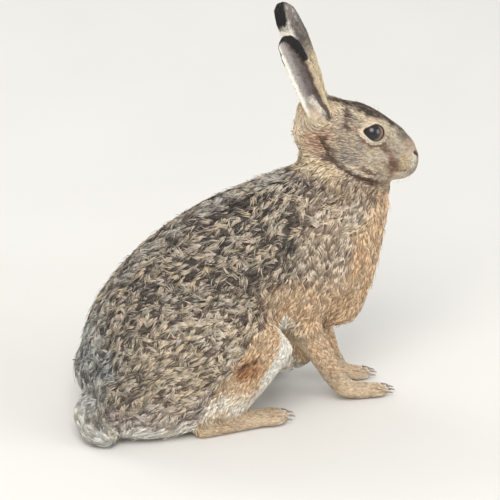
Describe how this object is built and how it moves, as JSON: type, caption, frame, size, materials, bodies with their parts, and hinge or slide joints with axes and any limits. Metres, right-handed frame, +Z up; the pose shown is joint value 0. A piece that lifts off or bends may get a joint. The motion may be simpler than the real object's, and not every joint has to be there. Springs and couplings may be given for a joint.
{
  "type": "brown hare",
  "caption": "Life-size still model of a brown hare sitting on its haunches, forelegs straight and ears up.",
  "frame": {"origin": "middle of the bounding box, on the floor the hare sits on", "axes": "+X forward, the way the hare faces; +Y its left; +Z up"},
  "size_m": [0.4018, 0.1662, 0.4622],
  "materials": {
    "coat": "short mottled brown fur",
    "buff_coat": "short buff fur",
    "pale_coat": "soft pale fur",
    "ear_coat": "very short brown fur",
    "eye": "wet gloss, stands in for a living eye",
    "claw": "smooth dark horn"
  },
  "bodies": {
    "root": {"head": "coat", "neck": "coat", "trunk": "coat", "tail": "pale_coat", "ear_left": "ear_coat", "ear_right": "ear_coat", "eye_left": "eye", "eye_right": "eye", "upper_arm_left": "coat", "upper_arm_right": "coat", "forearm_left": "buff_coat", "forearm_right": "buff_coat", "forepaw_left": "buff_coat", "forepaw_right": "buff_coat", "thigh_left": "coat", "thigh_right": "coat", "shank_left": "buff_coat", "shank_right": "buff_coat", "hind_foot_left": "buff_coat", "hind_foot_right": "buff_coat", "claw_fore_left_1": "claw", "claw_fore_left_2": "claw", "claw_fore_left_3": "claw", "claw_fore_left_4": "claw", "claw_fore_right_1": "claw", "claw_fore_right_2": "claw", "claw_fore_right_3": "claw", "claw_fore_right_4": "claw", "claw_hind_left_1": "claw", "claw_hind_left_2": "claw", "claw_hind_left_3": "claw", "claw_hind_left_4": "claw", "claw_hind_right_1": "claw", "claw_hind_right_2": "claw", "claw_hind_right_3": "claw", "claw_hind_right_4": "claw"}
  },
  "joints": []
}
